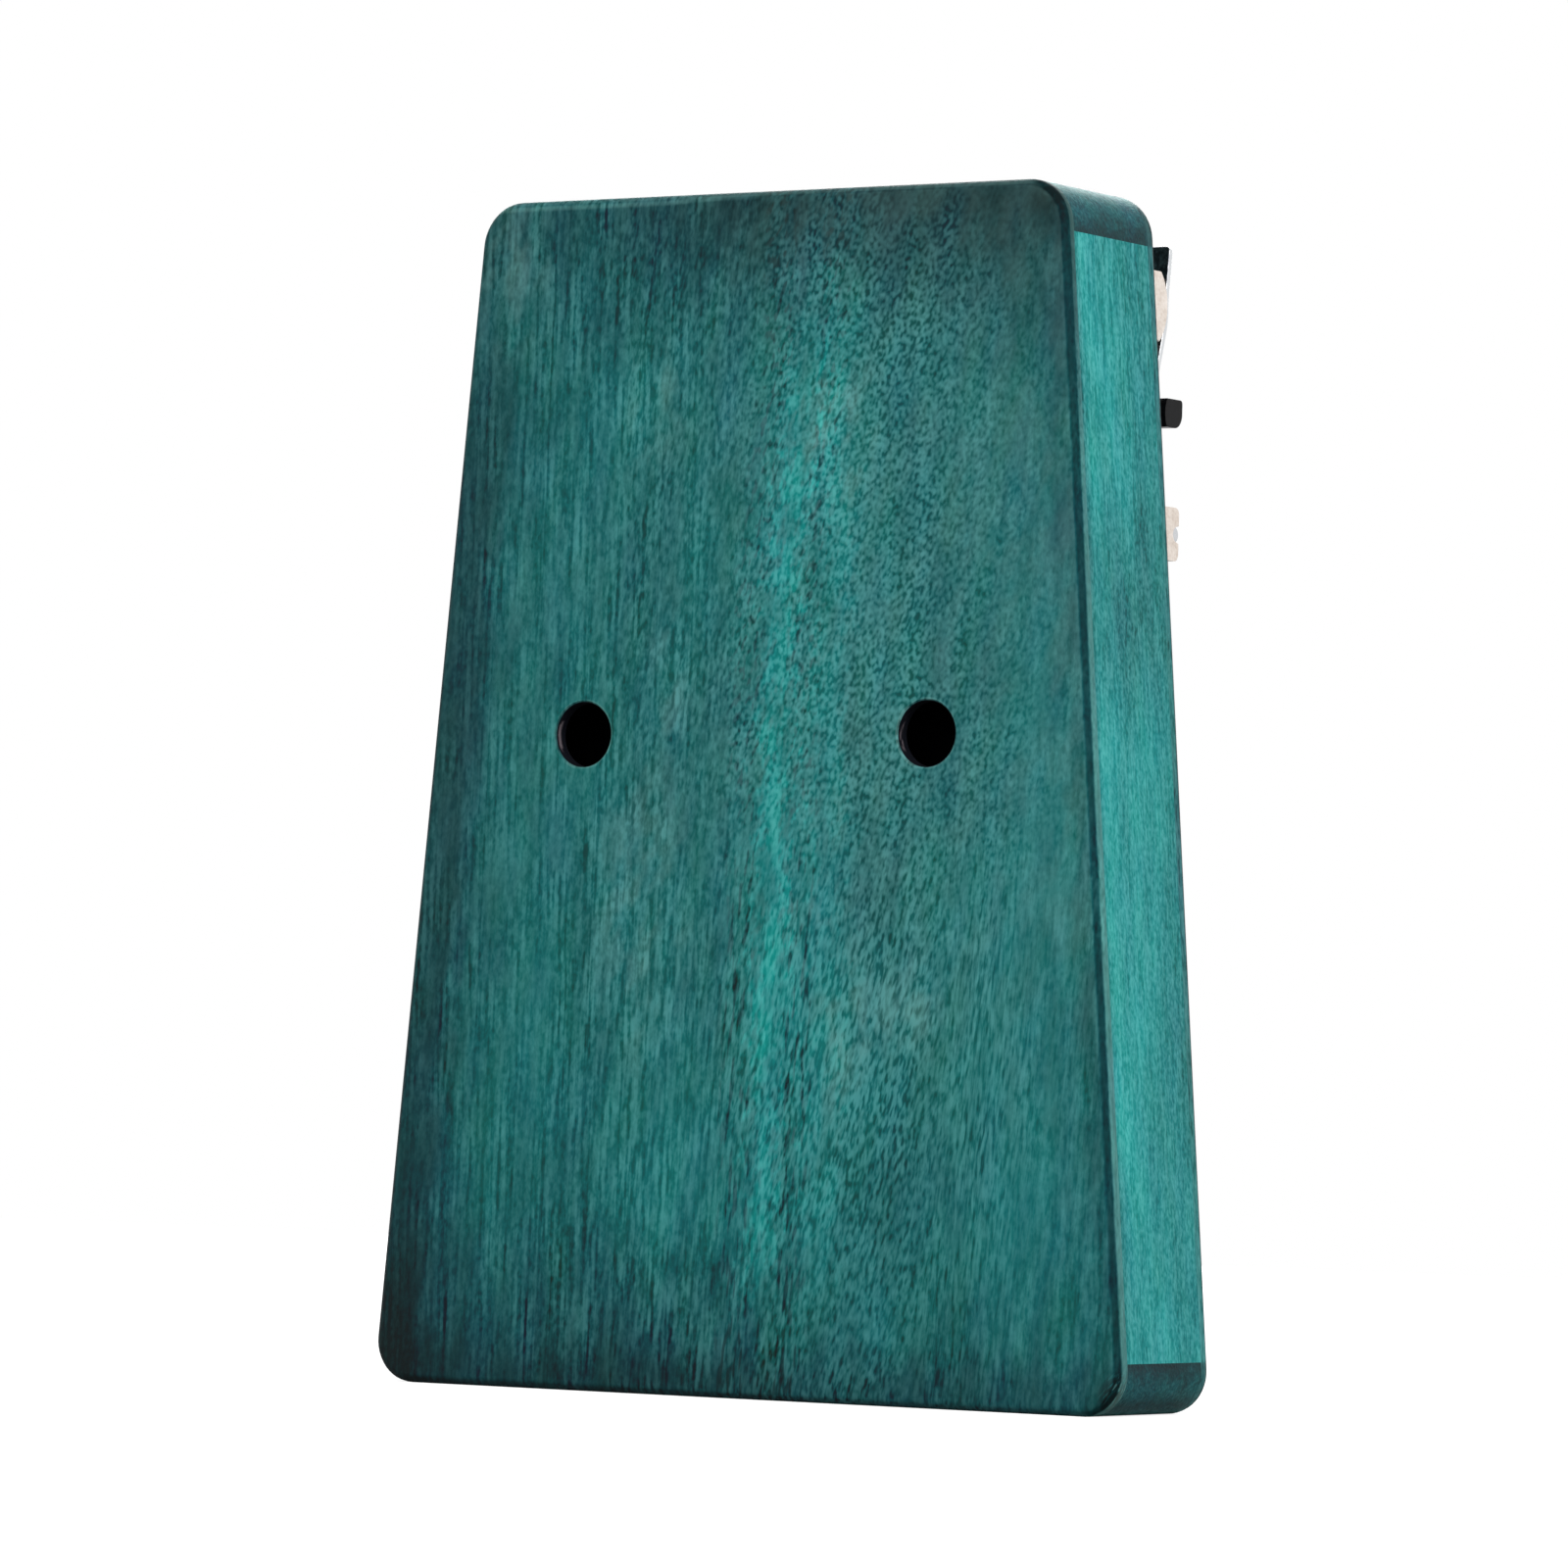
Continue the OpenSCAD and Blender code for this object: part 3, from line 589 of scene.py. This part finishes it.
def pale_maple():
    """Hard maple, planed and oiled: nearly white with a pink cast, fine short flecks along the strip."""
    material, tree = new_material("planed_maple")
    place = add(tree, "ShaderNodeTexCoord", out=3)
    fleck = fibres(tree, place, 0.5, 5, detail=2, turn=90)
    band = fibres(tree, place, 2.5, 40, detail=2, turn=90)
    shade = maths(tree, "ADD", swing(tree, fleck, 0.5), swing(tree, band, 0.5), 0.5)
    colour = add(tree, "ShaderNodeValToRGB", {"Fac": shade}, stops=(
        (0.1, "#BDAFA3"),
        (0.5, "#D3C8BE"),
        (0.9, "#E2DAD3"),
    ))
    relief = add(tree, "ShaderNodeBump", {"Height": fleck, "Strength": 0.2, "Distance": 0.1 * MM})
    surface(tree, Base_Color=colour, Roughness=0.52, Normal=relief, IOR=1.5)
    return material


def block_wood():
    """Sawn spruce left bare inside the box: straw colour with brown late wood."""
    material, tree = new_material("sawn_spruce")
    place = add(tree, "ShaderNodeTexCoord", out=3)
    rings = fibres(tree, place, 2.2, 60, detail=2, turn=90)
    colour = add(tree, "ShaderNodeValToRGB", {"Fac": rings}, stops=((0.3, "#A98455"), (0.7, "#D2B384")))
    relief = add(tree, "ShaderNodeBump", {"Height": rings, "Strength": 0.3, "Distance": 0.1 * MM})
    surface(tree, Base_Color=colour, Roughness=0.75, Normal=relief)
    return material


def black_bar():
    """Steel bar under black enamel: nearly black and glossy, the gloss a little uneven."""
    material, tree = new_material("black_enamelled_steel")
    place = add(tree, "ShaderNodeTexCoord", out=3)
    mottle = fibres(tree, place, 1.5, 3, detail=2, turn=90)
    colour = add(tree, "ShaderNodeValToRGB", {"Fac": mottle}, stops=((0.3, "#050506"), (0.75, "#0C0C0F")))
    gloss = add(tree, "ShaderNodeMapRange", {"Value": mottle, "To Min": 0.16, "To Max": 0.32})
    relief = add(tree, "ShaderNodeBump", {"Height": mottle, "Strength": 0.08, "Distance": 0.1 * MM})
    surface(tree, Base_Color=colour, Roughness=gloss, Normal=relief, Specular_IOR_Level=0.07, IOR=1.5)
    return material


def bright_metal(name, shades, rough, across, along, turn=0.0, underside_shade=None):
    """Drawn or polished metal: fine scratches along the work and small changes of tone. The last argument gives two
    colours of painted shade, in blotches, on the side facing the box."""
    material, tree = new_material(name)
    place = add(tree, "ShaderNodeTexCoord", out=3)
    scratch = fibres(tree, place, across, along, detail=2, turn=turn)
    smudge = fibres(tree, place, 4, 9, detail=2)
    tone = maths(tree, "ADD", swing(tree, scratch, 0.35), swing(tree, smudge, 0.4), 0.5)
    colour = add(tree, "ShaderNodeValToRGB", {"Fac": tone}, stops=((0.1, shades[0]), (0.9, shades[1])))
    if underside_shade:
        towards_box = parts_of(tree, add(tree, "ShaderNodeNewGeometry", out=1))[1]
        blotch = fibres(tree, place, 0.9, 1.2)
        underside_colour = add(tree, "ShaderNodeValToRGB", {"Fac": blotch}, stops=((0.40, underside_shade[0]), (0.64, underside_shade[1])))
        under = step(tree, towards_box, 0.3, 0.7)
        colour = add(tree, "ShaderNodeMix", {0: under, 6: colour, 7: underside_colour}, out=2, data_type="RGBA")
    gloss = add(tree, "ShaderNodeMapRange", {"Value": tone, "To Min": rough[0], "To Max": rough[1]})
    relief = add(tree, "ShaderNodeBump", {"Height": scratch, "Strength": 0.06, "Distance": 0.05 * MM})
    surface(tree, Base_Color=colour, Metallic=1.0, Roughness=gloss, Normal=relief)
    return material


def soft_shading():
    """Shading only: joins a node's loose triangles and shades its gentle edges smooth and its arrises sharp."""
    group = bpy.data.node_groups.new("soft_shading", "GeometryNodeTree")
    for way in ("INPUT", "OUTPUT"):
        group.interface.new_socket(name="Geometry", in_out=way, socket_type="NodeSocketGeometry")
    solid = add(group, "NodeGroupInput")
    bare = add(group, "GeometryNodeRemoveAttribute", {"Geometry": solid, "Name": "custom_normal"})
    joined = add(group, "GeometryNodeMergeByDistance", {"Geometry": bare, "Distance": WELD_GAP})
    smooth = add(group, "GeometryNodeSetShadeSmooth", {"Geometry": joined, "Shade Smooth": True}, domain="FACE")
    angle = add(group, "GeometryNodeInputMeshEdgeAngle")
    arris = add(group, "FunctionNodeCompare", {
        0: angle, 1: SHADED_SHARP,
    }, operation="GREATER_THAN", data_type="FLOAT")
    sharp = add(group, "GeometryNodeSetShadeSmooth", {
        "Geometry": smooth, "Selection": arris, "Shade Smooth": False,
    }, domain="EDGE")
    add(group, "NodeGroupOutput", {0: sharp})
    return group


def dress(group, material, *names, eased=0.0):
    """Gives CAD nodes their finish and smooth shading, and eases their sharp edges by a width in millimetres."""
    for name in names:
        node = nodes[name]
        node.data.materials.clear()
        node.data.materials.append(material)
        if eased:
            node.modifiers.new("joined", "WELD").merge_threshold = WELD_GAP
            bevel = node.modifiers.new("eased_edges", "BEVEL")
            bevel.width = eased * MM
            bevel.segments = 3
            bevel.limit_method = "ANGLE"
            bevel.angle_limit = NODE_ARRIS
        node.modifiers.new("soft_shading", "NODES").node_group = group
        weighted = node.modifiers.new("flat_faces_flat", "WEIGHTED_NORMAL")
        weighted.keep_sharp = True


TINE_COUNT = 17
TINE_THICK = 1.0 * MM
TINE_WIDE = 4.1 * MM
TINE_EASE = 0.16 * MM
# A tine's middle line over its supports, as in the part's source: level over saddle, under the bar and over the rod
SEAT_GAP = 0.05 * MM
BOW_DEPTH = 3.6 * MM
LAND = 2.1 * MM
BEND_REACH = 1.3 * MM
TAIL_REACH = 9.6 * MM
TAIL_RISE = math.tan(math.radians(7))
FLEX_REACH = 2.4 * MM
BLADE_LEAD = 2.0 * MM
LEAD_REACH = 1.5 * MM
BLADE_RISE = math.tan(math.radians(3))
TIP_LENGTH = 8.0 * MM
TIP_RISE = math.tan(math.radians(13))
TIP_REACH = 5.5 * MM
TIP_ROUND = 1.6 * MM
TAIL_ROUND = 0.8 * MM
# The blade is cut across at about this spacing, so that it can curve
SPRING_LENGTH = 3.0 * MM
# Points closer than this are at the same place
SAME_PLACE = 1e-7


def middle(name, axis):
    """The middle of a node along one axis."""
    low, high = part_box(name)
    return (low[axis] + high[axis]) / 2


def rounded(strip, geometry, width, segments, affect="EDGES"):
    """Rounds edges or corners of a mesh."""
    bmesh.ops.bevel(
        strip, geom=geometry, offset=width, offset_type="OFFSET", segments=segments, profile=0.5, affect=affect,
        material=-1,
    )


def tine(number, steel):
    """One spring strip from tail to tip: a flat ribbon folded over its supports, bent round, thickened, eased."""
    shank, blade = f"tine_{number:02d}_shank", f"tine_{number:02d}_blade"
    x = middle(shank, 0)
    level, rod_level = (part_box(name)[0].y - SEAT_GAP - TINE_THICK / 2 for name in ("saddle", "bridge_rod"))
    low = level + BOW_DEPTH
    saddle, bar, rod = (middle(name, 2) for name in ("saddle", "pressure_bar", "bridge_rod"))
    flex = rod - FLEX_REACH
    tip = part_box(blade)[0].z
    climb = (flex - BLADE_LEAD - tip - TIP_LENGTH) * BLADE_RISE
    corners = (
        (saddle + TAIL_REACH, level - (TAIL_REACH - LAND) * TAIL_RISE, 0),
        (saddle + LAND, level, BEND_REACH),
        (saddle - LAND, level, BEND_REACH),
        (bar + LAND, low, BEND_REACH),
        (bar - LAND, low, BEND_REACH),
        (rod + LAND, rod_level, BEND_REACH),
        (flex - BLADE_LEAD, rod_level, LEAD_REACH),
        (tip + TIP_LENGTH, rod_level - climb, TIP_REACH),
        (tip, rod_level - climb - TIP_LENGTH * TIP_RISE, 0),
    )

    # The ribbon: its first edge drawn from corner to corner, then folds and ends rounded
    strip = bmesh.new()
    z, y, _ = corners[0]
    edge = strip.edges.new([strip.verts.new((x + side * TINE_WIDE / 2, y, z)) for side in (-1, 1)])
    ends, folds = [edge], []
    for (z0, y0, _), (z1, y1, reach) in zip(corners, corners[1:]):
        grown = bmesh.ops.extrude_edge_only(strip, edges=[edge])["geom"]
        moved = [v for v in grown if isinstance(v, bmesh.types.BMVert)]
        bmesh.ops.translate(strip, verts=moved, vec=(0, y1 - y0, z1 - z0))
        edge = next(
            e for e in grown
            if isinstance(e, bmesh.types.BMEdge) and all(abs(v.co.z - z1) < SAME_PLACE for v in e.verts)
        )
        folds.append((edge, reach))
    ends.append(edge)
    for fold, reach in folds[:-1]:
        rounded(strip, [fold], reach, 6)
    for edge, radius in zip(ends, (TAIL_ROUND, TIP_ROUND)):
        rounded(strip, edge.verts[:], radius, 6, "VERTICES")

    # Cuts across the free length, so that it curves when it is plucked
    first_cut = flex - BLADE_LEAD - 2 * LEAD_REACH
    last_cut = tip + TIP_LENGTH + TIP_REACH + SPRING_LENGTH / 2
    cuts = max(2, round((first_cut - last_cut) / SPRING_LENGTH))
    for cut in range(cuts + 1):
        bmesh.ops.bisect_plane(
            strip, geom=strip.verts[:] + strip.edges[:] + strip.faces[:], dist=SAME_PLACE,
            plane_co=(0, 0, first_cut + (last_cut - first_cut) * cut / cuts), plane_no=(0, 0, 1),
        )

    # Half the thickness to each side of the middle line, normals outwards
    bmesh.ops.recalc_face_normals(strip, faces=strip.faces[:])
    strip.normal_update()
    outwards = 1 if sum(f.normal.y * f.calc_area() for f in strip.faces) < 0 else -1
    for vert in strip.verts:
        vert.co += vert.normal * outwards * TINE_THICK / 2
    if outwards < 0:
        bmesh.ops.reverse_faces(strip, faces=strip.faces[:])
    bmesh.ops.solidify(strip, geom=strip.faces[:], thickness=TINE_THICK)
    strip.normal_update()
    arrises = [e for e in strip.edges if len(e.link_faces) == 2 and e.calc_face_angle() > TINE_ARRIS]
    rounded(strip, arrises, TINE_EASE, 2)

    mesh = bpy.data.meshes.new(f"tine_{number:02d}")
    strip.to_mesh(mesh)
    strip.free()
    mesh.materials.append(steel)
    mesh.shade_smooth()
    piece = bpy.data.objects.new(f"tine_{number:02d}", mesh)
    bpy.context.scene.collection.objects.link(piece)
    piece.modifiers.new("flat_faces_flat", "WEIGHTED_NORMAL")
    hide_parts(shank, blade)
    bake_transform(piece)
    return piece


def studio():
    """White floor and backdrop, a large soft key from the right of the photograph and two soft fills."""
    scene = bpy.context.scene
    scene.view_settings.view_transform = "Standard"

    floor_mesh = bmesh.new()
    bmesh.ops.create_grid(floor_mesh, x_segments=1, y_segments=1, size=1)
    mesh = bpy.data.meshes.new("floor")
    floor_mesh.to_mesh(mesh)
    floor_mesh.free()
    floor = bpy.data.objects.new("floor", mesh)
    scene.collection.objects.link(floor)
    paper, tree = new_material("white_paper")
    seen = add(tree, "ShaderNodeLightPath", out=0)
    matt = add(tree, "ShaderNodeBsdfDiffuse", {"Color": linear("#B4B4B4")})
    glow = add(tree, "ShaderNodeEmission", {"Strength": maths(tree, "MULTIPLY", seen, 0.78)})
    add(tree, "ShaderNodeOutputMaterial", {"Surface": add(tree, "ShaderNodeAddShader", {0: matt, 1: glow})})
    mesh.materials.append(paper)

    world = bpy.data.worlds.new("studio")
    scene.world = world
    world.use_nodes = True
    tree = world.node_tree
    tree.nodes.clear()
    rays = [
        add(tree, "ShaderNodeLightPath", out=name)
        for name in ("Is Camera Ray", "Is Glossy Ray", "Is Transmission Ray")
    ]
    level = add(tree, "ShaderNodeMapRange", {"Value": maths(tree, "MAXIMUM", *rays), "To Min": 0.35, "To Max": 1.0})
    room = add(tree, "ShaderNodeBackground", {"Color": (1, 1, 1, 1), "Strength": level})
    add(tree, "ShaderNodeOutputWorld", {"Surface": room})

    middle_of_box = Vector((0, 0, HEAD_Z / 2))
    for name, towards, watts, size in LAMPS:
        data = bpy.data.lights.new(name, "AREA")
        data.energy = watts
        data.size = size
        lamp = bpy.data.objects.new(name, data)
        away = Vector(towards).normalized()
        lamp.matrix_world = Matrix.LocRotScale(
            middle_of_box + LAMP_DISTANCE * away, away.to_track_quat("Z", "Y"), None,
        )
        lamp.visible_camera = False
        scene.collection.objects.link(lamp)

    data = bpy.data.cameras.new("camera")
    data.sensor_fit = "HORIZONTAL"
    data.sensor_width = 36
    data.lens = CAMERA_LENS
    data.clip_start = 0.05
    data.clip_end = 50
    camera = bpy.data.objects.new("camera", data)
    level_view = (CAMERA_AIM - CAMERA_PLACE).to_track_quat("-Z", "Y").to_matrix()
    turned = level_view @ Matrix.Rotation(math.radians(CAMERA_ROLL), 3, "Z")
    camera.matrix_world = Matrix.LocRotScale(CAMERA_PLACE, turned.to_quaternion(), None)
    scene.collection.objects.link(camera)
    scene.camera = camera


studio()
shading = soft_shading()
dress(shading, back_finish(), "back_board")
dress(shading, front_finish(), "sound_board")
dress(shading, side_rail_finish(), "left_rail", "right_rail")
dress(shading, end_rail_finish(), "head_rail", "foot_rail")
dress(shading, block_wood(), "screw_block")
dress(shading, pale_maple(), "saddle", "bridge", eased=0.3)
dress(shading, black_bar(), "pressure_bar", eased=0.5)
rod_steel = bright_metal("drawn_stainless_rod", ("#B9BCC0", "#DDDFE1"), (0.14, 0.26), 0.3, 6, 90)
dress(shading, rod_steel, "bridge_rod", eased=0.25)
screw_steel = bright_metal("nickel_plated_screw", ("#A9A9A8", "#CFCECB"), (0.16, 0.28), 0.6, 0.6)
dress(shading, screw_steel, "bar_screws", eased=0.15)
# The tines get painted shade, in blotches, on the side that faces the box
spring_steel = bright_metal(
    "polished_spring_steel", ("#CCCFD2", "#E6E8E9"), (0.10, 0.20), 0.3, 9, underside_shade=("#55575B", "#9A9CA0"),
)
for number in range(1, TINE_COUNT + 1):
    tine(number, spring_steel)
